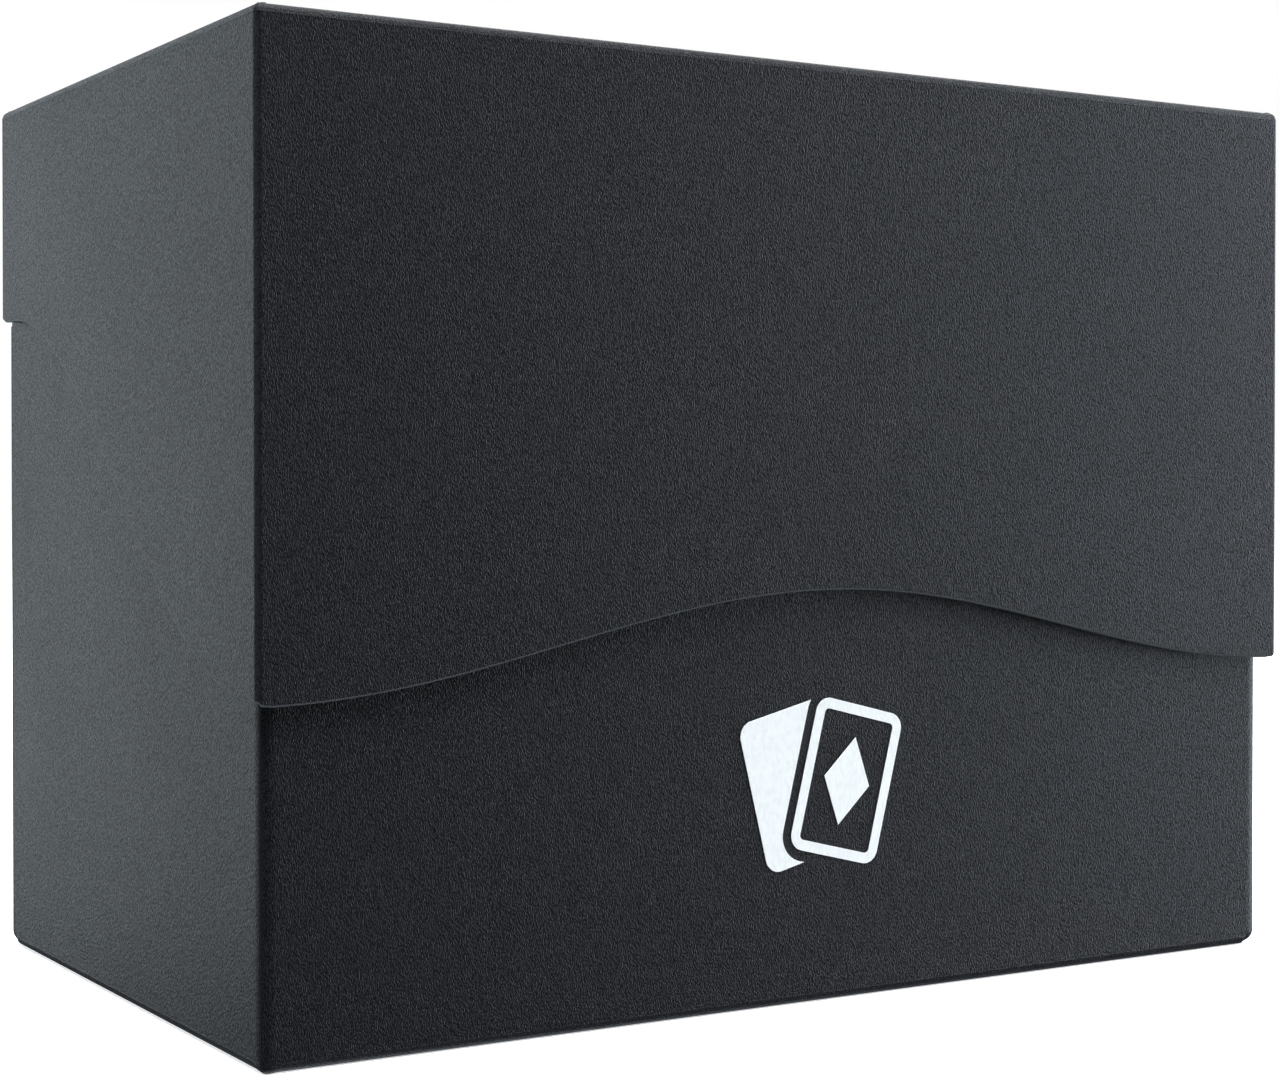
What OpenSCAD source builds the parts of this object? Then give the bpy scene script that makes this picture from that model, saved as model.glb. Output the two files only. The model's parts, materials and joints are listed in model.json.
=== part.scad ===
// Side-loading card deck box folded from polypropylene sheet.
// Frame: +X to the right, +Y to the back, +Z up; the front faces -Y.
// Origin: middle of the closed box's footprint, on the surface it stands on.

/* [Closed box] */
// Outer width of the lid, left to right
lid_w = 99.2; // [90:0.1:110]
// Outer depth of the closed box, front to back
box_d = 59.8; // [50:0.1:75]
// Overall height of the closed box
box_h = 75.5; // [70:0.1:90]

/* [Sheet] */
// Thickness of the polypropylene sheet
sheet_t = 0.6; // [0.5:0.05:0.65]
// Outer radius of every fold
fold_r = 0.7; // [0.7:0.05:1.2]
// Thickness of the bonding tape under a glued flap
tape_t = 0.1; // [0.08:0.01:0.15]
// Width of a glued flap
flap_w = 11; // [8:0.5:14]

/* [Lid edge] */
// Height of the lid's bottom edge at its front corners
lip_corner_z = 26.1; // [20:0.1:30]
// Rise of the lid's bottom edge from the front corners to the middle of the front
lip_rise = 7.2; // [0:0.1:9]
// Height of the hinge line across the back
hinge_z = 56.4; // [54:0.1:60]

/* [Lid over base] */
// Gap between lid and base at the left side
gap_left = 0.2; // [0.15:0.05:0.6]
// Gap between lid and base at the right side
gap_right = 1.0; // [0.15:0.05:1.2]
// Gap between lid and base at the front
gap_front = 0.4; // [0.2:0.05:0.6]

/* [Base edge, hidden by the lid] */
// Height of the base's front wall at its ends
front_wall_z = 45; // [42:0.5:50]
// Depth of the thumb dip in the middle of the base's front wall
thumb_dip = 6; // [0:0.5:7]
// Height of the base's side walls
side_wall_z = 70; // [66:0.5:71]

/* [Divider] */
// Thickness of the card divider
divider_t = 0.5; // [0.4:0.05:0.8]
// Height of the card divider
divider_h = 68; // [60:0.5:69]
// Width of the card divider
divider_w = 94; // [80:0.5:94.5]

/* [Emblem] */
// Height of the printed emblem's centre
emblem_z = 17.7; // [12:0.1:18]
// Overall height of the printed emblem
emblem_h = 15.6; // [10:0.1:16]
// Thickness of the ink film
ink_t = 0.06; // [0.05:0.01:0.1]

/* [Hidden] */
$fn = 64;
far = 200;
pp_colour = [0.17, 0.18, 0.19];

flap_gap = sheet_t + tape_t;
inner_r = fold_r - sheet_t;

lid_x = lid_w / 2;
box_y = box_d / 2;

base_x0 = -lid_x + sheet_t + gap_left;
base_x1 = lid_x - sheet_t - gap_right;
base_y0 = -box_y + sheet_t + gap_front;
base_y1 = box_y;
base_mid_x = (base_x0 + base_x1) / 2;

// The hinge is a crease: a thin web of sheet is left on the outer face, and both
// edges are bevelled inside it. A hairline keeps the two halves apart.
hinge_gap = 0.04;
hinge_bevel = 0.35;

// Side edge of the lid: an S from the front corner up to the hinge line.
s_start_y = -box_y + 0.8;
s_end_y = box_y - 3.3;
curve_steps = 48;

// Clearances of the loose and hidden edges
bond_side_inset = 1.5;
flap_end_gap = 1.8;
seam_recess = 0.05;
relief_z = 0.9;
ear_back_y = base_y1 - 2 * sheet_t - tape_t - 0.5;
ear_round = 12;
ear_heel_z = hinge_z + 1;
divider_foot = 0.1;
divider_back_gap = 0.5;
divider_corner_r = 3;

function clamp01(v) = max(0, min(1, v));
function smooth(v) = (1 - cos(180 * clamp01(v))) / 2;

// Heights of the visible and hidden edges
function lid_side_edge(y) =
    lip_corner_z + (hinge_z - lip_corner_z) * smooth((y - s_start_y) / (s_end_y - s_start_y));
function lid_front_edge(x) =
    lip_corner_z + lip_rise * (1 + cos(360 * clamp01(x / lid_w + 0.5) - 180)) / 2;
function base_front_edge(x) =
    front_wall_z - thumb_dip * (1 + cos(360 * clamp01((x - base_x0) / (base_x1 - base_x0)) - 180)) / 2;
function base_side_edge(y) =
    front_wall_z + (side_wall_z - front_wall_z) * smooth((y - base_y0 - 4) / (box_d * 0.55));

function steps(a, b) = [for (i = [0 : curve_steps]) a + (b - a) * i / curve_steps];

// ---- 2D outlines with true arcs ----

module rounded_rect(x0, y0, x1, y1, r) {
    translate([x0 + r, y0])
        square([x1 - x0 - 2 * r, y1 - y0]);
    translate([x0, y0 + r])
        square([x1 - x0, y1 - y0 - 2 * r]);
    for (x = [x0 + r, x1 - r], y = [y0 + r, y1 - r])
        translate([x, y])
            circle(r);
}

// Ring of sheet between a rounded outline and the same outline one sheet inside it
module sheet_ring(x0, y0, x1, y1) {
    difference() {
        rounded_rect(x0, y0, x1, y1, fold_r);
        rounded_rect(x0 + sheet_t, y0 + sheet_t, x1 - sheet_t, y1 - sheet_t, inner_r);
    }
}

// ---- placing an outline: along X from a YZ outline, along Y from an XZ outline ----

module along_x(x0, x1) {
    translate([x0, 0, 0])
        rotate([90, 0, 90])
            linear_extrude(x1 - x0)
                children();
}

module along_y(y0, y1) {
    translate([0, y1, 0])
        rotate([90, 0, 0])
            linear_extrude(y1 - y0)
                children();
}

module along_z(z0, z1) {
    translate([0, 0, z0])
        linear_extrude(z1 - z0)
            children();
}

module block(x0, y0, z0, x1, y1, z1) {
    translate([x0, y0, z0])
        cube([x1 - x0, y1 - y0, z1 - z0]);
}

// ---- the base: bottom, front and back in one strip, side walls with end flaps ----

module base_strip() {
    along_x(base_x0 + seam_recess, base_x1 - seam_recess)
        sheet_ring(base_y0, 0, base_y1, 2 * box_h);
}

// Side walls folded up from the bottom, and their flaps behind the front and back
module base_wings() {
    fy0 = base_y0 + flap_gap;
    fy1 = base_y1 - flap_gap;
    along_y(fy0 + fold_r, fy1 - fold_r)
        intersection() {
            sheet_ring(base_x0, 0, base_x1, 2 * box_h);
            translate([base_x0, 0])
                square([base_x1 - base_x0, relief_z + 0.1]);
        }
    intersection() {
        along_z(relief_z, side_wall_z)
            sheet_ring(base_x0, fy0, base_x1, fy1);
        union() {
            block(base_x0, fy0, 0, base_x0 + flap_w, fy1, far);
            block(base_x1 - flap_w, fy0, 0, base_x1, fy1, far);
        }
    }
}

// What the top edge of the base's front wall leaves out
module above_base_front() {
    along_y(base_y0 - 1, base_y0 + 2 * sheet_t + tape_t + 0.4)
        polygon(concat([for (x = steps(base_x0 - 1, base_x1 + 1)) [x, base_front_edge(x)]],
                       [[base_x1 + 1, far], [base_x0 - 1, far]]));
}

// What the top edges of the base's side walls leave out
module above_base_sides() {
    ear_y0 = ear_back_y - ear_round;
    along_x(base_x0 - 1, base_x1 + 1)
        polygon(concat([for (y = steps(base_y0 - 1, ear_y0)) [y, base_side_edge(y)]],
                       [for (a = [0 : 6 : 90])
                           [ear_y0 + ear_round * sin(a), side_wall_z - ear_round * (1 - cos(a))]],
                       [[ear_back_y, ear_heel_z], [base_y1 - sheet_t, ear_heel_z],
                        [base_y1 - sheet_t, far], [base_y0 - 1, far]]));
    block(base_x0 + sheet_t, ear_back_y, hinge_z - flap_end_gap, base_x1 - sheet_t, base_y1 - sheet_t, far);
}

// What the crease takes off the top of the base's back wall
module above_base_back() {
    edge_z = hinge_z - hinge_gap / 2;
    along_x(base_x0 - 1, base_x1 + 1)
        polygon([[base_y1 + 1, edge_z], [base_y1 - sheet_t + hinge_bevel, edge_z],
                 [base_y1 - sheet_t - 0.01, edge_z - hinge_bevel], [base_y1 - sheet_t - 0.01, far],
                 [base_y1 + 1, far]]);
}

module base_shell() {
    color(pp_colour)
        difference() {
            union() {
                base_strip();
                base_wings();
            }
            above_base_front();
            above_base_sides();
            above_base_back();
        }
}

// ---- the lid: a cap with folded edges, flaps under its top and inside its back ----

module lid_body() {
    difference() {
        intersection() {
            along_x(-lid_x, lid_x)
                rounded_rect(-box_y, 0, box_y, box_h, fold_r);
            along_y(-box_y, box_y)
                rounded_rect(-lid_x, 0, lid_x, box_h, fold_r);
            along_z(0, box_h)
                rounded_rect(-lid_x, -box_y, lid_x, box_y, fold_r);
        }
        intersection() {
            along_x(-lid_x, lid_x)
                rounded_rect(-box_y + sheet_t, -1, box_y - sheet_t, box_h - sheet_t, inner_r);
            along_y(-box_y, box_y)
                rounded_rect(-lid_x + sheet_t, -1, lid_x - sheet_t, box_h - sheet_t, inner_r);
            along_z(-1, box_h)
                rounded_rect(-lid_x + sheet_t, -box_y + sheet_t, lid_x - sheet_t, box_y - sheet_t, inner_r);
        }
    }
}

// Flaps of one side wall: one under the top, one inside the back
module lid_flaps(side) {
    inner_x = side * (lid_x - sheet_t / 2);
    edge_x = side * (lid_x - flap_w);
    x0 = min(inner_x, edge_x);
    x1 = max(inner_x, edge_x);
    top_z = box_h - flap_gap;
    back_y = box_y - flap_gap;
    block(x0, -box_y + 4, top_z - sheet_t, x1, box_y - 4, top_z);
    block(x0, back_y - sheet_t, hinge_z + flap_end_gap, x1, back_y, box_h - 4);
}

module below_lid_sides() {
    along_x(-lid_x - 1, lid_x + 1)
        polygon(concat([[-box_y - 1, -1]],
                       [for (y = steps(-box_y - 1, s_end_y)) [y, lid_side_edge(y)]],
                       [[box_y - sheet_t, hinge_z], [box_y - sheet_t, -1]]));
}

module below_lid_front() {
    along_y(-box_y - 1, -box_y + 1.2)
        polygon(concat([[-lid_x - 1, -1]],
                       [for (x = steps(-lid_x, lid_x)) [x, lid_front_edge(x)]],
                       [[lid_x + 1, lip_corner_z], [lid_x + 1, -1]]));
}

module below_lid_back() {
    edge_z = hinge_z + hinge_gap / 2;
    along_x(-lid_x - 1, lid_x + 1)
        polygon([[box_y + 1, edge_z], [box_y - sheet_t + hinge_bevel, edge_z],
                 [box_y - sheet_t - 0.01, edge_z + hinge_bevel], [box_y - sheet_t - 0.01, -1],
                 [box_y + 1, -1]]);
}

module lid_shell() {
    color(pp_colour)
        difference() {
            union() {
                lid_body();
                lid_flaps(-1);
                lid_flaps(1);
            }
            below_lid_sides();
            below_lid_front();
            below_lid_back();
        }
}

// ---- the loose divider ----

module card_divider() {
    back = base_y1 - 2 * sheet_t - tape_t - divider_back_gap;
    x0 = base_mid_x - divider_w / 2;
    color([0.24, 0.25, 0.26])
        along_y(back - divider_t, back)
            translate([0, sheet_t + divider_foot])
                rounded_rect(x0, 0, x0 + divider_w, divider_h, divider_corner_r);
}

// ---- the printed emblem: two fanned cards, the front one with a diamond ----

card_w = emblem_h * 0.56;
card_h = emblem_h * 0.80;
card_r = emblem_h * 0.08;
line_w = emblem_h * 0.055;
fan_angle = 14;

module card_outline(grow) {
    rounded_rect(-card_w / 2 - grow, -card_h / 2 - grow, card_w / 2 + grow, card_h / 2 + grow, card_r + grow);
}

module emblem_outline() {
    difference() {
        translate([-card_w * 0.28, 0])
            rotate(fan_angle)
                card_outline(0);
        translate([card_w * 0.28, 0])
            rotate(-fan_angle)
                card_outline(line_w);
    }
    translate([card_w * 0.28, 0])
        rotate(-fan_angle)
            difference() {
                card_outline(0);
                card_outline(-line_w);
            }
    translate([card_w * 0.28, 0])
        rotate(-fan_angle)
            scale(emblem_h / 15.6)
                polygon([[0, -3.6], [2.3, 0], [0, 3.6], [-2.3, 0]]);
}

module front_emblem() {
    color("white")
        along_y(base_y0 - ink_t, base_y0)
            translate([base_mid_x, emblem_z])
                emblem_outline();
}

// ---- tape between each glued flap and its wall ----

module base_flap_bonds() {
    bond_w = flap_w - 2 * bond_side_inset;
    top_z = front_wall_z - 10;
    color([0.75, 0.75, 0.72])
        for (x0 = [base_x0 + bond_side_inset, base_x1 - flap_w + bond_side_inset]) {
            block(x0, base_y0 + sheet_t, relief_z + 2, x0 + bond_w, base_y0 + flap_gap, top_z);
            block(x0, base_y1 - flap_gap, relief_z + 2, x0 + bond_w, base_y1 - sheet_t, hinge_z - 4);
        }
}

module lid_flap_bonds() {
    bond_w = flap_w - 2 * bond_side_inset;
    color([0.75, 0.75, 0.72])
        for (x0 = [-lid_x + bond_side_inset, lid_x - flap_w + bond_side_inset]) {
            block(x0, -box_y + 6, box_h - flap_gap, x0 + bond_w, box_y - 6, box_h - sheet_t);
            block(x0, box_y - flap_gap, hinge_z + 3, x0 + bond_w, box_y - sheet_t, box_h - 6);
        }
}

base_shell();
lid_shell();
card_divider();
front_emblem();
base_flap_bonds();
lid_flap_bonds();
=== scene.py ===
"""A side-loading card deck box folded from polypropylene sheet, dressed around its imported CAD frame.

The front faces -Y and the hinge runs along the back. MM turns lengths written in millimetres into metres.
"""

import json
import math

import bmesh
import bpy
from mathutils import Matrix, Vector


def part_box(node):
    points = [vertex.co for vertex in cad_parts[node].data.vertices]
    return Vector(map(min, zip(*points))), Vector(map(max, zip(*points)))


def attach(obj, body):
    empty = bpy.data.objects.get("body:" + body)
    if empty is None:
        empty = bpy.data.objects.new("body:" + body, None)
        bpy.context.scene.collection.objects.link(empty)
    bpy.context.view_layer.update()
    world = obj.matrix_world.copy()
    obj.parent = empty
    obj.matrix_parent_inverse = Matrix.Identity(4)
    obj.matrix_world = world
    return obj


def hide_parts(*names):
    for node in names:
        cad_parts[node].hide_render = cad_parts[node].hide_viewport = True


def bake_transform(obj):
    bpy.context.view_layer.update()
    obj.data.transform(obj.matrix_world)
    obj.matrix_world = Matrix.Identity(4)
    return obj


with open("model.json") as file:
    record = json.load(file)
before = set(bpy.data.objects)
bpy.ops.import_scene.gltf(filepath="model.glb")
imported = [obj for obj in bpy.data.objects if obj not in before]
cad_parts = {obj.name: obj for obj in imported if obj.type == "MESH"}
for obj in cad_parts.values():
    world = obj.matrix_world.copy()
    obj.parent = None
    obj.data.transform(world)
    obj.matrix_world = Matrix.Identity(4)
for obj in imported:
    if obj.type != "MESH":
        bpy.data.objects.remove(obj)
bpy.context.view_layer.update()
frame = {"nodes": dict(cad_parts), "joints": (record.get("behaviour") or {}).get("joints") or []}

MM = 0.001

# ---------------------------------------------------------------- sizes, from the frame where it has them

lid_low, lid_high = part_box("lid_shell")
base_low, base_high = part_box("base_shell")
divider_low, divider_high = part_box("card_divider")
hinge_joint = next(j for j in frame["joints"] if j["name"] == "lid_hinge")
hinge_y, hinge_z = hinge_joint["pos_m"][1:]

SHEET = 0.6 * MM
TAPE = 0.1 * MM
FLAP_WIDTH = 11 * MM

# Folds beside the closed faces. The power of their section's curve would be 2 for a quarter circle
FOLD = 1.05 * MM
FOLD_SQUARENESS = 3.0
INNER_FOLD = 0.15 * MM
# Wear on a fold sets in over this share of its width
WEAR_ONSET = 0.2
# A scored fold leaves a low bead beside it, this far from the closed face
BEAD_AT = 0.7 * MM
BEAD_HEIGHT = 0.02 * MM
BEAD_WIDTH = 0.06 * MM
# Along the bead the scuff tone is laid on in patches, as a painted highlight, at this share
BEAD_HIGHLIGHT = 0.6

# The lid's upright corners are rounded. The base's are seams, where the front or back panel rolls off
# towards its cut edge, and the side wall towards the flap that the panel covers
LID_CORNER = 0.5 * MM
ROLL_WIDTH = 1.1 * MM
ROLL_SINK = 0.22 * MM
ROLL_POWER = 2.5
SIDE_ROLL_WIDTH = 0.7 * MM
SIDE_ROLL_SINK = 0.11 * MM
SEAM_EDGE = 0.08 * MM
SEAM_LEAN = 0.06 * MM
SEAM_GAP = 0.02 * MM
# At the back the seams lie almost flush with the side walls
BACK_SINK = 0.01 * MM
# Where columns stand on a seam's cut face, as shares of the sheet's thickness
CUT_FACE_STOPS = (0.5, 0.65, 0.8, 0.98)
# The columns on flat wall start this far beyond the clipped corners and the seams
CLIP_MARGIN = 0.1 * MM
SEAM_MARGIN = 0.15 * MM
# The front and back panels' clipped corners beside the bottom; the near left one is clipped less
CORNER_CLIP = 1.25 * MM
NEAR_LEFT_CLIP = 0.6 * MM

# The rounding of cut edges, and the band beside them over which their look fades out
CUT_EDGE = 0.12 * MM
CUT_FRINGE = 0.05 * MM
# The rounding of the edges of flat plates, and of their corners where they turn by more than this
PLATE_EDGE = 0.8 * CUT_EDGE
SHARP_CORNER = math.radians(60)
# How cut edges look: pressing against a flap, with a painted shade; free, with a painted highlight; or
# smoothed by the cutter, with a painted highlight too
PRESSED_EDGE = 1.0
FREE_EDGE = 2.0
SMOOTH_EDGE = 3.0

# The lid's bottom edge: the height of its wave in front, and where the S of the sides starts and ends
LIP_CORNER_Z = lid_low.z
LIP_RISE = 7.2 * MM
LIP_SIDE_START = 0.8 * MM
LIP_SIDE_END = 3.3 * MM
# The rounding of its corners: how high it lifts them, and how far from the side walls' faces it starts and
# is complete on the front and back
LIP_LIFT = 0.35 * MM
LIP_ROUND = 0.8 * MM
LIP_ROUND_END = LID_CORNER / 4
# On the sides it fades out over LIP_BLEND behind the front. It returns LIP_BACK_ROUND before the back's
# face, and is complete after LIP_BACK_WIDTH
LIP_BLEND = 20 * MM
LIP_BACK_ROUND = 1.4 * MM
LIP_BACK_WIDTH = 1 * MM

# The base's top edge. Its sides rise from EAR_RISE_START behind the front, over this share of the depth
FRONT_WALL_Z = 45 * MM
THUMB_DIP = 6 * MM
SIDE_WALL_Z = base_high.z
EAR_RISE_START = 4 * MM
EAR_RISE_SHARE = 0.55
EAR_BACK_GAP = 0.5 * MM
EAR_ROUND = 12 * MM
EAR_HEEL = 1 * MM

# Glue flaps: the taper of their free ends, and how far they stay from folds and edges
FLAP_TAPER = 2.5 * MM
LID_FLAP_MARGIN = 4 * MM
HINGE_FLAP_GAP = 1.8 * MM
BASE_FLAP_START = 0.9 * MM
FRONT_FLAP_GAP = 1 * MM
DIVIDER_CORNER = 3 * MM

# The thin web at the hinge lies just below the back's face and reaches a little into both halves. A shallow
# groove runs along its middle
CREASE_HALF = 0.25 * MM
CREASE_OVERLAP = 0.08 * MM
CREASE_SINK = 0.03 * MM
CREASE_GROOVE = 0.04 * MM
CREASE_END_GAP = 0.4 * MM
CREASE_WEAR = 0.9
WEB_THICKNESS = 0.25 * MM

# Numbers of steps in the meshes: round a corner seam, down the walls of a shell, and over the crease
ROLL_STEPS = 9
SEAM_EDGE_STEPS = 4
SIDE_ROLL_STEPS = 6
CLIP_STEPS = 3
WALL_STEPS = 14
RIM_STEPS = 4
INNER_FOLD_STEPS = 3
CREASE_STEPS = 10
CREASE_LENGTH_STEPS = 40


def clamp01(value):
    return max(0.0, min(1.0, value))


def smooth(value):
    return (1 - math.cos(math.pi * clamp01(value))) / 2


def mix(a, b, share):
    return a + (b - a) * share


# ---------------------------------------------------------------- folded shells
# A shell is a tray: a closed face, walls folded from it, and an open edge. It is built from columns that
# stand round its outline. Each column gives points in plan, and the mesh's rings run through all of them.


def fold_partner(share):
    """The other coordinate of a fold's section. Both run from 0 at one flat face to 1 at the other.

    Folded sheet turns gently at first and tightly in the middle, so the section is a squarish arc.
    """
    return 1 - (1 - (1 - share) ** FOLD_SQUARENESS) ** (1 / FOLD_SQUARENESS)


def fold_section(steps=10):
    """(inset, drop) points of a fold, from the closed face to the wall.

    Inset is measured from the wall's face and drop from the closed face.
    """
    middle = 1 - 0.5 ** (1 / FOLD_SQUARENESS)
    insets = [mix(1, middle, math.sin(a)) for a in spread(0, math.pi / 2, steps)]
    points = [(inset, fold_partner(inset)) for inset in insets]
    points += [(fold_partner(drop), drop) for drop in spread(middle, 1, 2 * steps)[1:]]
    return [(inset * FOLD, drop * FOLD) for inset, drop in points]


class Outline:
    """The plan of a shell: a rectangle with rounded corners."""

    def __init__(self, low, high, corner):
        self.x = {-1: low.x, 1: high.x}
        self.y = {-1: low.y, 1: high.y}
        self.corner = corner

    def place(self, side_x, side_y, along, angle, inset):
        """A point of the outline moved inwards.

        side_x or side_y is 0 on a straight side, and neither is at a corner.
        """
        if side_x == 0:
            return Vector((along, self.y[side_y] - side_y * inset))
        if side_y == 0:
            return Vector((self.x[side_x] - side_x * inset, along))
        size = max(self.corner - inset, 0)
        centre_x = self.x[side_x] - side_x * (inset + size)
        centre_y = self.y[side_y] - side_y * (inset + size)
        x = centre_x + side_x * size * math.cos(angle)
        y = centre_y + side_y * size * math.sin(angle)
        return Vector((x, y))


class Column:
    """A line down the wall of a shell, on a straight side or on a rounded corner.

    Its scuffing share and cut say how its whole length looks, and rim how its end on the open edge looks.
    Except on the back, that end gets a painted highlight.
    """

    def __init__(self, outline, side_x, side_y, along=0.0, angle=0.0):
        self.outline = outline
        self.key = (side_x, side_y, along, angle)
        self.at = self.inside(0)
        self.on_back = side_y == 1 and side_x == 0
        self.rim = SMOOTH_EDGE if side_x else FREE_EDGE
        if self.on_back:
            self.rim = 0.0
        self.wear = 0.0 if side_x == 0 or side_y == 0 else math.sin(2 * angle) ** 2
        self.cut = 0.0

    def outside(self, inset, drop):
        """The plan is the same at every drop below the closed face."""
        return self.inside(inset)

    def inside(self, inset):
        return self.outline.place(*self.key, inset)


class SeamColumn:
    """A line down a corner seam, where a panel's cut edge covers the folded flap of a side wall."""

    def __init__(self, outline, side_x, side_y, inward_x, inward_y, cut):
        corner = Vector((outline.x[side_x], outline.y[side_y]))
        self.inward = Vector((-side_x, -side_y))
        self.at = corner + Vector((self.inward.x * inward_x, self.inward.y * inward_y))
        self.clip = NEAR_LEFT_CLIP if (side_x, side_y) == (-1, -1) else CORNER_CLIP
        self.target = corner + self.inward * self.clip
        self.inner = corner + self.inward * SHEET
        self.on_back = False
        # Its end on the open edge gets a painted highlight
        self.rim = FREE_EDGE
        self.wear = 0.0
        self.cut = cut

    def outside(self, inset, drop):
        """The panels' corners are clipped round beside the closed face, so the seam runs inwards there."""
        left = self.clip - min(drop, self.clip)
        share = 1 - math.sqrt(1 - (left / self.clip) ** 2)
        inner_share = clamp01(inset / SHEET) if drop > self.clip else 0
        return self.at.lerp(self.target, share).lerp(self.inner, inner_share)

    def inside(self, inset):
        if inset <= SHEET:
            return self.at.lerp(self.inner, inset / SHEET)
        return self.inner + self.inward * (inset - SHEET)


def spread(start, end, count, ends=True):
    """count even steps from start to end, with or without the two ends."""
    values = [mix(start, end, i / count) for i in range(count + 1)]
    return values if ends else values[1:-1]


def rounded_columns(outline, count_x, count_y, count_corner=14):
    """Columns round a rectangle with rounded corners, anticlockwise from the front left."""
    edge = outline.corner
    xs = spread(outline.x[-1] + edge, outline.x[1] - edge, count_x)
    ys = spread(outline.y[-1] + edge, outline.y[1] - edge, count_y)
    quarter = spread(0, math.pi / 2, count_corner, ends=False)
    columns = [Column(outline, 0, -1, x) for x in xs]
    columns += [Column(outline, 1, -1, angle=a) for a in reversed(quarter)]
    columns += [Column(outline, 1, 0, y) for y in ys]
    columns += [Column(outline, 1, 1, angle=a) for a in quarter]
    columns += [Column(outline, 0, 1, x) for x in reversed(xs)]
    columns += [Column(outline, -1, 1, angle=a) for a in reversed(quarter)]
    columns += [Column(outline, -1, 0, y) for y in reversed(ys)]
    columns += [Column(outline, -1, -1, angle=a) for a in quarter]
    return columns


def seam_points(side_sink, lean, cut):
    """The plan of a corner seam from panel to side wall, as (inwards along X, inwards along Y, cut).

    The panel rolls over to its cut edge, the cut edge covers the folded flap, and the side wall comes out
    from behind it.
    """
    points = []
    for s in spread(0, 1, ROLL_STEPS):
        points.append((mix(ROLL_WIDTH, SEAM_EDGE, s), ROLL_SINK * s**ROLL_POWER, 0.0))
    for a in spread(0, math.pi / 2, SEAM_EDGE_STEPS)[1:]:
        inward_x = lean / 2 + SEAM_EDGE * (1 - math.sin(a))
        inward_y = ROLL_SINK + SEAM_EDGE * (1 - math.cos(a))
        points.append((inward_x, inward_y, cut))
    points += [(lean * (1 - share), SHEET * share, cut) for share in CUT_FACE_STOPS]
    for s in spread(1, 0, SIDE_ROLL_STEPS):
        points.append((side_sink * s * s, SHEET + SEAM_GAP + SIDE_ROLL_WIDTH * (1 - s), 0.0))
    return points


def seamed_columns(outline, count_x, count_y):
    """Columns round a rectangle whose four corners are seams, anticlockwise from the front left."""
    # The front seams' cut faces get a painted shade, the back ones none
    front_points = seam_points(SIDE_ROLL_SINK, SEAM_LEAN, PRESSED_EDGE)
    back_points = seam_points(BACK_SINK, BACK_SINK, 0.0)
    first_x = CORNER_CLIP + CLIP_MARGIN
    first_y = front_points[-1][1] + SEAM_MARGIN
    xs = spread(outline.x[-1] + first_x, outline.x[1] - first_x, count_x)
    ys = spread(outline.y[-1] + first_y, outline.y[1] - first_y, count_y)

    def seam(side_x, side_y):
        points = front_points if side_y < 0 else back_points
        return [SeamColumn(outline, side_x, side_y, *point) for point in points]

    columns = [Column(outline, 0, -1, x) for x in xs] + seam(1, -1)
    columns += [Column(outline, 1, 0, y) for y in ys] + list(reversed(seam(1, 1)))
    columns += [Column(outline, 0, 1, x) for x in reversed(xs)] + seam(-1, 1)
    columns += [Column(outline, -1, 0, y) for y in reversed(ys)] + list(reversed(seam(-1, -1)))
    return columns


def shell_rings(columns, closed_z, towards_open, open_z):
    """The rings of a shell's mesh, from the outside of its closed face round the open edge to the inside.

    Each ring is a list of (point, wear, cut), with one entry for each column.
    """
    rings = []
    depth = [abs(open_z(c) - closed_z) for c in columns]

    def ring(plan, down, wear=0.0, rim=False):
        made = []
        for c, deep in zip(columns, depth):
            p = plan(c)
            at = Vector((p.x, p.y, closed_z + towards_open * down(deep)))
            made.append((at, max(wear, c.wear), max(c.rim if rim else 0.0, c.cut)))
        rings.append(made)

    quarter = math.pi / 2
    for inset, drop in fold_section():
        bead = math.exp(-(((drop - BEAD_AT) / BEAD_WIDTH) ** 2))
        turned = clamp01(min(inset, drop) / (WEAR_ONSET * FOLD))
        # On the fold this share is scuffing, on the bead a painted highlight
        ring(
            lambda c: c.outside(inset - BEAD_HEIGHT * bead, drop),
            lambda deep: drop,
            wear=max(turned, BEAD_HIGHLIGHT * bead),
        )
    for drop in spread(FOLD, CORNER_CLIP, CLIP_STEPS)[1:]:
        ring(lambda c: c.outside(0, drop), lambda deep: drop)
    for share in spread(0, 1, WALL_STEPS)[1:]:
        ring(
            lambda c: c.outside(0, FOLD + CORNER_CLIP),
            lambda deep: mix(CORNER_CLIP, deep - CUT_EDGE - CUT_FRINGE, share),
        )
    # Round the open edge: the columns' rim look lays a painted highlight on it, except on the back
    for a in spread(0, quarter, RIM_STEPS):
        ring(
            lambda c: c.inside(CUT_EDGE * (1 - math.cos(a))),
            lambda deep: deep - CUT_EDGE * (1 - math.sin(a)),
            rim=True,
        )
    for a in spread(quarter, 0, RIM_STEPS):
        ring(
            lambda c: c.inside(SHEET - CUT_EDGE * (1 - math.cos(a))),
            lambda deep: deep - CUT_EDGE * (1 - math.sin(a)),
            rim=True,
        )
    floor = SHEET + INNER_FOLD
    for share in spread(0, 1, WALL_STEPS):
        ring(lambda c: c.inside(SHEET), lambda deep: mix(deep - CUT_EDGE - CUT_FRINGE, floor, share))
    for a in spread(0, quarter, INNER_FOLD_STEPS)[1:]:
        ring(
            lambda c: c.inside(SHEET + INNER_FOLD * (1 - math.cos(a))),
            lambda deep: SHEET + INNER_FOLD * (1 - math.sin(a)),
        )
    return rings


def new_mesh():
    """An empty bmesh with its two shading values.

    The first goes up to 1 where folds, corners and the hinge crease show scuffing, and along the fold beads
    it lays on a painted highlight.
    cut is PRESSED_EDGE on cut edges with a painted shade, and FREE_EDGE or SMOOTH_EDGE on those with a
    painted highlight. Both are 0 elsewhere.
    """
    mesh = bmesh.new()
    return mesh, mesh.verts.layers.float.new("wear"), mesh.verts.layers.float.new("cut")


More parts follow.
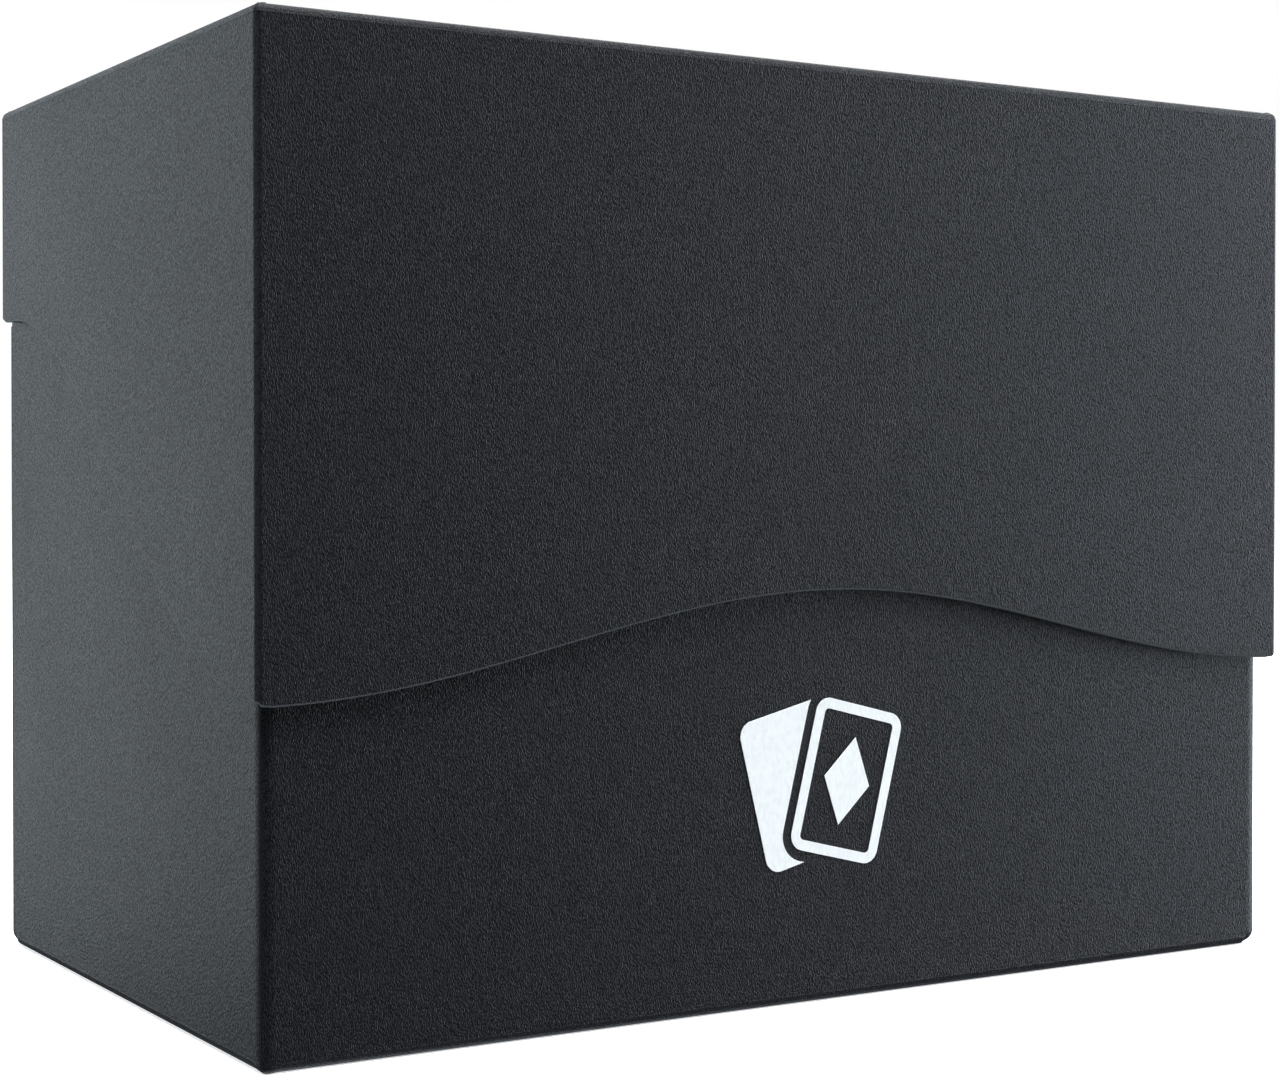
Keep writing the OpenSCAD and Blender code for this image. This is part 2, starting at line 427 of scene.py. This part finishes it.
def shell_object(name, rings):
    """A closed mesh through the rings, with flat faces over the first and the last of them."""
    mesh, wear, cut = new_mesh()
    rows = []
    for ring in rings:
        row = []
        for point, wear_and_highlight_share, cut_share in ring:
            vert = mesh.verts.new(point)
            vert[wear] = wear_and_highlight_share
            vert[cut] = cut_share
            row.append(vert)
        rows.append(row)
    count = len(rows[0])
    for upper, lower in zip(rows, rows[1:]):
        for i in range(count):
            j = (i + 1) % count
            mesh.faces.new((upper[i], upper[j], lower[j], lower[i]))
    mesh.faces.new(rows[0])
    mesh.faces.new(rows[-1])
    bmesh.ops.remove_doubles(mesh, verts=mesh.verts, dist=1e-7)
    bmesh.ops.dissolve_degenerate(mesh, edges=mesh.edges, dist=1e-8)
    return finished_object(name, mesh)


def finished_object(name, mesh, sharp_angle=32):
    """Turns a bmesh into an object with outward normals that are smooth over its rounded edges."""
    bmesh.ops.recalc_face_normals(mesh, faces=mesh.faces)
    data = bpy.data.meshes.new(name)
    mesh.to_mesh(data)
    mesh.free()
    data.shade_smooth()
    data.set_sharp_from_angle(angle=math.radians(sharp_angle))
    made = bpy.data.objects.new(name, data)
    bpy.context.scene.collection.objects.link(made)
    weighted = made.modifiers.new("even normals", "WEIGHTED_NORMAL")
    weighted.keep_sharp = True
    return made


def plate_object(name, outlines, to_space, thickness):
    """Flat pieces of sheet with softened cut edges.

    outlines holds closed 2D outlines, and to_space puts a 2D point and a depth into the frame.
    """
    mesh, _, cut = new_mesh()
    for points in outlines:
        low = [mesh.verts.new(to_space(u, v, 0)) for u, v in points]
        high = [mesh.verts.new(to_space(u, v, thickness)) for u, v in points]
        mesh.faces.new(low)
        mesh.faces.new(high)
        for i in range(len(points)):
            j = (i + 1) % len(points)
            mesh.faces.new((low[i], low[j], high[j], high[i]))
    rim = [e for e in mesh.edges if any(is_flat(f) for f in e.link_faces) or is_sharp(e)]
    bmesh.ops.bevel(
        mesh,
        geom=rim,
        offset=PLATE_EDGE,
        segments=3,
        profile=0.5,
        affect="EDGES",
        clamp_overlap=True,
    )
    flats = [f for f in mesh.faces if is_flat(f)]
    # Every cut edge of a plate gets a painted highlight
    for vert in mesh.verts:
        vert[cut] = FREE_EDGE
    bmesh.ops.inset_individual(mesh, faces=flats, thickness=CUT_FRINGE)
    for face in flats:
        for vert in face.verts:
            vert[cut] = 0.0
    return finished_object(name, mesh)


def is_flat(face):
    """True for a plate's flat faces, which have more corners than the faces round its edge."""
    return len(face.verts) > 4


def is_sharp(edge):
    return len(edge.link_faces) == 2 and edge.calc_face_angle(0) > SHARP_CORNER


def upright_plate(name, outlines, front_y, thickness):
    """Plates parallel to the front, from front_y backwards."""
    return plate_object(name, outlines, lambda u, v, w: Vector((u, front_y + w, v)), thickness)


# ---------------------------------------------------------------- the pieces


def lid_open_z(column):
    """Height of the lid's bottom edge: a wave across the front, an S down each side, level along the back.

    Its corners are rounded where the walls fold.
    """
    x, y = column.at
    past = clamp01((abs(x) - lid_high.x + LIP_ROUND) / (LIP_ROUND - LIP_ROUND_END))
    if column.on_back:
        return hinge_z + CREASE_HALF + LIP_LIFT * past**2
    # Just past the end of the straight front, so that rounding errors make no difference
    front_end = lid_high.x - LID_CORNER * 0.999
    if y < lid_low.y + LID_CORNER and abs(x) < front_end:
        wave = LIP_CORNER_Z + LIP_RISE * (1 + math.cos(math.pi * x / lid_high.x)) / 2
        return wave + LIP_LIFT * past**2
    start, end = lid_low.y + LIP_SIDE_START, lid_high.y - LIP_SIDE_END
    edge = mix(LIP_CORNER_Z, hinge_z, smooth((y - start) / (end - start)))
    if y < 0:
        return edge + LIP_LIFT * past**2 * clamp01(1 - (y - lid_low.y) / LIP_BLEND)
    return edge + LIP_LIFT * clamp01((y - lid_high.y + LIP_BACK_ROUND) / LIP_BACK_WIDTH) ** 2


def make_lid():
    columns = rounded_columns(Outline(lid_low, lid_high, LID_CORNER), count_x=128, count_y=84)
    return shell_object("lid_sheet", shell_rings(columns, lid_high.z, -1, lid_open_z))


def base_open_z(column):
    """Height of the base's top edge: low in front with a thumb dip, up to its ears, down to the hinge."""
    if column.on_back:
        return hinge_z - CREASE_HALF
    x, y = column.at
    ear_back = base_high.y - 2 * SHEET - TAPE - EAR_BACK_GAP
    ear_start = ear_back - EAR_ROUND
    if y < base_low.y + 2 * SHEET:
        share = clamp01((x - base_low.x) / (base_high.x - base_low.x))
        return FRONT_WALL_Z - THUMB_DIP * (1 - math.cos(2 * math.pi * share)) / 2
    if y <= ear_start:
        rise = (y - base_low.y - EAR_RISE_START) / ((lid_high.y - lid_low.y) * EAR_RISE_SHARE)
        return mix(FRONT_WALL_Z, SIDE_WALL_Z, smooth(rise))
    if y < ear_back:
        lean = (y - ear_start) / EAR_ROUND
        return SIDE_WALL_Z - EAR_ROUND * (1 - math.sqrt(1 - lean * lean))
    if y < base_high.y - SHEET:
        return hinge_z + EAR_HEEL
    return hinge_z - CREASE_HALF


def make_base():
    columns = seamed_columns(Outline(base_low, base_high, 0.0), count_x=128, count_y=96)
    return shell_object("base_sheet", shell_rings(columns, 0.0, 1, base_open_z))


def flap_outline(attached, free, low, high):
    """A glue flap: square where it is folded from its wall, tapered at its free end."""
    knee = free - math.copysign(FLAP_TAPER, free - attached)
    lower = [(attached, low), (knee, low), (free, low + FLAP_TAPER)]
    upper = [(free, high - FLAP_TAPER), (knee, high), (attached, high)]
    return lower + upper


def make_lid_flaps():
    top = lid_high.z - SHEET - TAPE
    back = lid_high.y - SHEET - TAPE
    under_top = []
    inside_back = []
    for side in (-1, 1):
        attached, free = side * (lid_high.x - SHEET), side * (lid_high.x - FLAP_WIDTH)
        front_end, back_end = lid_low.y + LID_FLAP_MARGIN, lid_high.y - LID_FLAP_MARGIN
        under_top.append(flap_outline(attached, free, front_end, back_end))
        low_end, high_end = hinge_z + HINGE_FLAP_GAP, lid_high.z - LID_FLAP_MARGIN
        inside_back.append(flap_outline(attached, free, low_end, high_end))
    return [
        plate_object("lid_top_flaps", under_top, lambda u, v, w: Vector((u, v, top - SHEET + w)), SHEET),
        upright_plate("lid_back_flaps", inside_back, back - SHEET, SHEET),
    ]


def make_base_flaps():
    front = base_low.y + SHEET + TAPE
    back = base_high.y - SHEET - TAPE
    behind_front = []
    inside_back = []
    for wall, inwards in ((base_low.x + SHEET, 1), (base_high.x - SHEET, -1)):
        free = wall + inwards * (FLAP_WIDTH - SHEET)
        behind_front.append(flap_outline(wall, free, BASE_FLAP_START, FRONT_WALL_Z - FRONT_FLAP_GAP))
        inside_back.append(flap_outline(wall, free, BASE_FLAP_START, hinge_z - HINGE_FLAP_GAP))
    return [
        upright_plate("base_front_flaps", behind_front, front, SHEET),
        upright_plate("base_back_flaps", inside_back, back - SHEET, SHEET),
    ]


def rounded_outline(x0, y0, x1, y1, radius, steps=8):
    """A rectangle with rounded corners, anticlockwise from the right end of its lower edge."""
    centres = [
        (x1 - radius, y0 + radius),
        (x1 - radius, y1 - radius),
        (x0 + radius, y1 - radius),
        (x0 + radius, y0 + radius),
    ]
    points = []
    for (cx, cy), start in zip(centres, (-90, 0, 90, 180)):
        for a in spread(math.radians(start), math.radians(start + 90), steps):
            points.append((cx + radius * math.cos(a), cy + radius * math.sin(a)))
    return points


def make_divider():
    low, high = divider_low, divider_high
    outline = rounded_outline(low.x, low.z, high.x, high.z, DIVIDER_CORNER)
    return upright_plate("divider_plate", [outline], low.y, high.y - low.y)


def make_crease():
    """The thin web of sheet left along the hinge. It is built straight, as when the lid is closed, and
    stays so when the lid opens.
    """
    reach = CREASE_HALF + CREASE_OVERLAP
    outside = hinge_y - CREASE_SINK
    x0, x1 = base_low.x + CREASE_END_GAP, base_high.x - CREASE_END_GAP
    mesh, wear, _ = new_mesh()
    section = []
    for z in spread(-reach, reach, CREASE_STEPS):
        section.append((outside - CREASE_GROOVE * math.cos(math.pi * z / (2 * reach)), hinge_z + z))
    for z in spread(reach, -reach, CREASE_STEPS):
        section.append((outside - WEB_THICKNESS, hinge_z + z))
    ends = []
    for x in spread(x0, x1, CREASE_LENGTH_STEPS):
        ends.append([mesh.verts.new((x, y, z)) for y, z in section])
    for here, there in zip(ends, ends[1:]):
        for i in range(len(section)):
            j = (i + 1) % len(section)
            mesh.faces.new((here[i], here[j], there[j], there[i]))
    mesh.faces.new(ends[0])
    mesh.faces.new(ends[-1])
    for vert in mesh.verts:
        vert[wear] = CREASE_WEAR
    return finished_object("hinge_crease", mesh)


# ---------------------------------------------------------------- materials

# Noise cells per metre along each axis: the cells of the sheet's grain are 0.08 mm wide and 0.19 mm tall
GRAIN = (12000, 12000, 5200)
CLOUD = (60, 60, 60)
SCUFF = (900, 900, 900)
INK_GRAIN = (3600, 3600, 1700)
BUBBLES = (700, 700, 700)
# The noise lattice is turned about the upright axis, so that no wall lies along one of its planes
GRAIN_TURN = (0.0, 0.0, 0.6)
# The grain noise has about these values in its hollows and on its heights
GRAIN_HOLLOW = 0.4
GRAIN_TOP = 0.6
GRAIN_HEIGHT = 0.052 * MM
# Folds show scuffing, and the beads show their painted highlight, where the scuff noise lies above the
# first value, and fully above the second
SCUFF_FROM = 0.38
SCUFF_FULL = 0.62
# The sheet's gloss: matt hollows, satin heights and faint clouds
HOLLOW_ROUGHNESS = 0.52
TOP_ROUGHNESS = 0.35
CLOUD_ROUGHNESS = 0.06
SHEET_SPECULAR = 0.115
# What a dull cut edge adds to it
CUT_ROUGHNESS = 0.3
CUT_SPECULAR = -0.06
# The ink's faint relief, from the grain under it
INK_STRENGTH = 0.3
INK_HEIGHT = 0.03 * MM


def new_material(name):
    material = bpy.data.materials.new(name)
    material.use_nodes = True
    nodes, links = material.node_tree.nodes, material.node_tree.links
    return material, nodes, links, nodes["Principled BSDF"]


def grain_noise(nodes, links, coordinates, stretch, detail, roughness):
    """Noise in the object's own space, squeezed so that its cells are 1/stretch metres along each axis."""
    mapping = nodes.new("ShaderNodeMapping")
    mapping.inputs["Scale"].default_value = stretch
    mapping.inputs["Rotation"].default_value = GRAIN_TURN
    links.new(coordinates.outputs["Object"], mapping.inputs["Vector"])
    noise = nodes.new("ShaderNodeTexNoise")
    noise.inputs["Scale"].default_value = 1.0
    noise.inputs["Detail"].default_value = detail
    noise.inputs["Roughness"].default_value = roughness
    links.new(mapping.outputs["Vector"], noise.inputs["Vector"])
    return noise.outputs["Fac"]


def ramp(nodes, links, source, stops):
    """A colour ramp through (position, grey or colour) stops."""
    node = nodes.new("ShaderNodeValToRGB")
    elements = node.color_ramp.elements
    for element, (position, value) in zip(elements, stops):
        element.position = position
        colour = value if hasattr(value, "__len__") else (value, value, value)
        element.color = (*colour, 1.0)
    links.new(source, node.inputs["Fac"])
    return node.outputs["Color"]


def vertex_value(nodes, name):
    """Reads one of the values that the mesh builders store on the vertices."""
    node = nodes.new("ShaderNodeAttribute")
    node.attribute_name = name
    return node.outputs["Fac"]


def maths(nodes, links, operation, *values):
    node = nodes.new("ShaderNodeMath")
    node.operation = operation
    for socket, value in zip(node.inputs, values):
        if isinstance(value, (int, float)):
            socket.default_value = value
        else:
            links.new(value, socket)
    return node.outputs["Value"]


def blend_colours(nodes, links, share, first, second):
    """A mix from the colour in the first socket to a plain second colour."""
    node = nodes.new("ShaderNodeMix")
    node.data_type = "RGBA"
    node.inputs["B"].default_value = (*second, 1.0)
    links.new(share, node.inputs["Factor"])
    links.new(first, node.inputs["A"])
    return node.outputs["Result"]


def relief(nodes, links, shader, height, strength, distance):
    bump = nodes.new("ShaderNodeBump")
    bump.inputs["Strength"].default_value = strength
    bump.inputs["Distance"].default_value = distance
    links.new(height, bump.inputs["Height"])
    links.new(bump.outputs["Normal"], shader.inputs["Normal"])


def sheet_material(name, dark, light, scuff_and_highlight, painted_seam_shade, painted_edge_highlight):
    """Embossed polypropylene: an upright grain in relief and in tone, scuffing on folds, a painted
    highlight along the fold beads, and cut edges.

    Cut edges that press against a flap get a painted shade, and the others a painted highlight. All but the
    smoothed ones are dull.
    """
    material, nodes, links, shader = new_material(name)
    coordinates = nodes.new("ShaderNodeTexCoord")
    cells = grain_noise(nodes, links, coordinates, GRAIN, detail=0.0, roughness=0.5)
    cloud = grain_noise(nodes, links, coordinates, CLOUD, detail=3.0, roughness=0.5)
    scuff = grain_noise(nodes, links, coordinates, SCUFF, detail=4.0, roughness=0.65)
    scuff_and_highlight_patches = ramp(nodes, links, scuff, ((SCUFF_FROM, 0.0), (SCUFF_FULL, 1.0)))

    tone = ramp(nodes, links, cells, ((GRAIN_HOLLOW, dark), (GRAIN_TOP, light)))
    # The scuff tone: scuffing on folds, and a painted highlight along the beads
    wear_and_highlight_share = maths(nodes, links, "MULTIPLY", vertex_value(nodes, "wear"), scuff_and_highlight_patches)
    wear_and_highlight_tone = blend_colours(nodes, links, wear_and_highlight_share, tone, scuff_and_highlight)
    cut = vertex_value(nodes, "cut")
    # Cut edges: a painted shade on those that press against a flap, a painted highlight on free and smooth
    # ones
    any_cut = maths(nodes, links, "MINIMUM", cut, PRESSED_EDGE)
    highlit_cut = maths(nodes, links, "SUBTRACT", cut, any_cut)
    edge_highlight_share = maths(nodes, links, "MINIMUM", highlit_cut, FREE_EDGE - PRESSED_EDGE)
    smooth_cut = maths(nodes, links, "SUBTRACT", highlit_cut, edge_highlight_share)
    dull_cut = maths(nodes, links, "SUBTRACT", any_cut, smooth_cut)
    # A painted shade on the cut edges; the free and smooth ones are then covered by their painted highlight
    cut_shaded_tone = blend_colours(nodes, links, any_cut, wear_and_highlight_tone, painted_seam_shade)
    final_tone = blend_colours(nodes, links, edge_highlight_share, cut_shaded_tone, painted_edge_highlight)
    links.new(final_tone, shader.inputs["Base Color"])

    matt = ramp(nodes, links, cells, ((GRAIN_HOLLOW, HOLLOW_ROUGHNESS), (GRAIN_TOP, TOP_ROUGHNESS)))
    clouded = maths(nodes, links, "MULTIPLY_ADD", cloud, CLOUD_ROUGHNESS, matt)
    dulled = maths(nodes, links, "MULTIPLY_ADD", dull_cut, CUT_ROUGHNESS, clouded)
    links.new(dulled, shader.inputs["Roughness"])
    shine = maths(nodes, links, "MULTIPLY_ADD", dull_cut, CUT_SPECULAR, SHEET_SPECULAR)
    links.new(shine, shader.inputs["Specular IOR Level"])
    relief(nodes, links, shader, cells, strength=1.0, distance=GRAIN_HEIGHT)
    return material


def ink_material():
    """White screen ink with a faint grain."""
    material, nodes, links, shader = new_material("white_ink")
    coordinates = nodes.new("ShaderNodeTexCoord")
    cells = grain_noise(nodes, links, coordinates, INK_GRAIN, detail=2.0, roughness=0.55)
    dark = (0.84, 0.86, 0.86)
    light = (0.92, 0.93, 0.93)
    tone = ramp(nodes, links, cells, ((0.3, dark), (0.6, light)))
    links.new(tone, shader.inputs["Base Color"])
    shine = ramp(nodes, links, cells, ((0.3, 0.55), (0.7, 0.42)))
    links.new(shine, shader.inputs["Roughness"])
    relief(nodes, links, shader, cells, strength=INK_STRENGTH, distance=INK_HEIGHT)
    return material


def tape_material():
    """Double-sided tape: milky film with faint bubbles."""
    material, nodes, links, shader = new_material("bonding_tape")
    coordinates = nodes.new("ShaderNodeTexCoord")
    bubbles = grain_noise(nodes, links, coordinates, BUBBLES, detail=3.0, roughness=0.6)
    dark = (0.5, 0.5, 0.46)
    light = (0.7, 0.7, 0.66)
    tone = ramp(nodes, links, bubbles, ((0.35, dark), (0.65, light)))
    links.new(tone, shader.inputs["Base Color"])
    shine = ramp(nodes, links, bubbles, ((0.3, 0.3), (0.7, 0.45)))
    links.new(shine, shader.inputs["Roughness"])
    return material


def dress(piece, material):
    piece.data.materials.clear()
    piece.data.materials.append(material)


# ---------------------------------------------------------------- stage, light and camera


def area_light(name, at, towards, size, power, tint=(1, 1, 1)):
    data = bpy.data.lights.new(name, "AREA")
    data.shape = "RECTANGLE"
    data.size, data.size_y = size
    data.energy = power
    data.color = tint
    lamp = bpy.data.objects.new(name, data)
    lamp.location = at
    lamp.rotation_euler = (Vector(towards) - Vector(at)).to_track_quat("-Z", "Y").to_euler()
    bpy.context.scene.collection.objects.link(lamp)


def make_floor():
    half = 6.0
    data = bpy.data.meshes.new("floor")
    corners = [(-half, -half, 0), (half, -half, 0), (half, half, 0), (-half, half, 0)]
    data.from_pydata(corners, [], [(0, 1, 2, 3)])
    floor = bpy.data.objects.new("floor", data)
    bpy.context.scene.collection.objects.link(floor)
    material, _, _, shader = new_material("floor_white")
    shader.inputs["Base Color"].default_value = (0.86, 0.86, 0.86, 1)
    shader.inputs["Roughness"].default_value = 0.9
    shader.inputs["Specular IOR Level"].default_value = 0.1
    shader.inputs["Emission Color"].default_value = (1, 1, 1, 1)
    shader.inputs["Emission Strength"].default_value = 0.6
    data.materials.append(material)
    # The floor's own bounce is even light, made by the lamp under it instead
    floor.visible_diffuse = False
    floor.visible_glossy = False
    floor.visible_shadow = False


def make_world():
    world = bpy.data.worlds.new("studio")
    world.use_nodes = True
    world.node_tree.nodes["Background"].inputs["Color"].default_value = (1, 1, 1, 1)
    world.node_tree.nodes["Background"].inputs["Strength"].default_value = 1.0
    world.cycles_visibility.diffuse = False
    world.cycles_visibility.glossy = False
    bpy.context.scene.world = world


# The lamps round the box are placed about this height and aimed at it
MIDDLE_Z = 40 * MM
# The tints of the lamps' light
NEAR_WHITE = (0.97, 0.99, 1.0)
COOL = (0.85, 0.93, 1.0)
COOL_GREEN = (0.85, 0.95, 1.0)


def polar(azimuth, elevation, distance):
    """A point round the box. Azimuth 0 is in front of it, and 90 is to its right."""
    a, e = math.radians(azimuth), math.radians(elevation)
    x = distance * math.sin(a) * math.cos(e)
    y = -distance * math.cos(a) * math.cos(e)
    return (x, y, distance * math.sin(e) + MIDDLE_Z)


def make_lights():
    middle = (0, 0, MIDDLE_Z)
    sun = bpy.data.lights.new("overhead", "SUN")
    sun.energy = 1.6
    sun.angle = math.radians(20)
    lamp = bpy.data.objects.new("overhead", sun)
    bpy.context.scene.collection.objects.link(lamp)
    area_light("front_key", polar(10, 58, 1.0), middle, size=(0.8, 0.5), power=2.9, tint=NEAR_WHITE)
    area_light("overhead_front", polar(10, 74, 1.0), middle, size=(0.9, 0.5), power=18.0, tint=NEAR_WHITE)
    area_light("right_key", polar(76, 9, 0.95), middle, size=(0.7, 1.0), power=18.9, tint=COOL)
    back_left = polar(-160, 10.5, 0.95)
    area_light("back_left_panel", back_left, middle, size=(0.8, 0.87), power=5.1, tint=COOL_GREEN)
    area_light("left_fill", polar(-80, 20, 1.0), middle, size=(0.8, 0.8), power=5.0, tint=COOL)
    area_light("back_right_fill", polar(135, 25, 1.1), middle, size=(0.8, 0.8), power=8.0)
    area_light("top_fill", polar(180, 80, 0.9), middle, size=(1.0, 1.0), power=3.0, tint=COOL)
    under_floor = (-0.03, 0.03, -0.3)
    area_light("floor_bounce", under_floor, (0, 0, 0), size=(0.5, 0.5), power=2.4, tint=COOL)


def make_camera():
    data = bpy.data.cameras.new("camera")
    data.lens = 68.48
    data.shift_x = 0.006
    data.shift_y = -0.0167
    data.clip_start = 0.01
    data.clip_end = 50
    camera = bpy.data.objects.new("camera", data)
    camera.location = (-115.1 * MM, -188.7 * MM, 41.7 * MM)
    yaw, pitch = math.radians(31.193), math.radians(0.735)
    look = Vector((math.sin(yaw) * math.cos(pitch), math.cos(yaw) * math.cos(pitch), -math.sin(pitch)))
    camera.rotation_euler = look.to_track_quat("-Z", "Y").to_euler()
    bpy.context.scene.collection.objects.link(camera)
    bpy.context.scene.camera = camera


# ---------------------------------------------------------------- the box, put together

# Its last three colours: scuffing on folds with a painted highlight along the beads, a painted shade on cut
# edges that press against a flap, and a painted highlight on the other cut edges
charcoal = sheet_material(
    "charcoal_sheet",
    dark=(0.003, 0.0031, 0.0038),
    light=(0.0168, 0.0164, 0.0197),
    scuff_and_highlight=(0.015, 0.0165, 0.0185),
    painted_seam_shade=(0.008, 0.0085, 0.0095),
    painted_edge_highlight=(0.08, 0.085, 0.092),
)
# The divider's plates have free cut edges only, which get its last colour as a painted highlight
divider_grey = sheet_material(
    "divider_sheet",
    dark=(0.03, 0.032, 0.034),
    light=(0.045, 0.047, 0.05),
    scuff_and_highlight=(0.07, 0.07, 0.072),
    painted_seam_shade=(0.05, 0.05, 0.052),
    painted_edge_highlight=(0.1, 0.1, 0.102),
)

for piece in [make_lid(), *make_lid_flaps()]:
    dress(piece, charcoal)
    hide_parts("lid_shell")
    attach(piece, "lid")

for piece in [make_base(), *make_base_flaps()]:
    dress(piece, charcoal)
    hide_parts("base_shell")
    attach(piece, "base")

crease = make_crease()
dress(crease, charcoal)
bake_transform(crease)

divider = make_divider()
dress(divider, divider_grey)
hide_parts("card_divider")
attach(divider, "divider")

dress(frame["nodes"]["front_emblem"], ink_material())
tape = tape_material()
for node in ("base_flap_bonds", "lid_flap_bonds"):
    dress(frame["nodes"][node], tape)

make_floor()
make_world()
make_lights()
make_camera()
bpy.context.scene.view_settings.view_transform = "Standard"
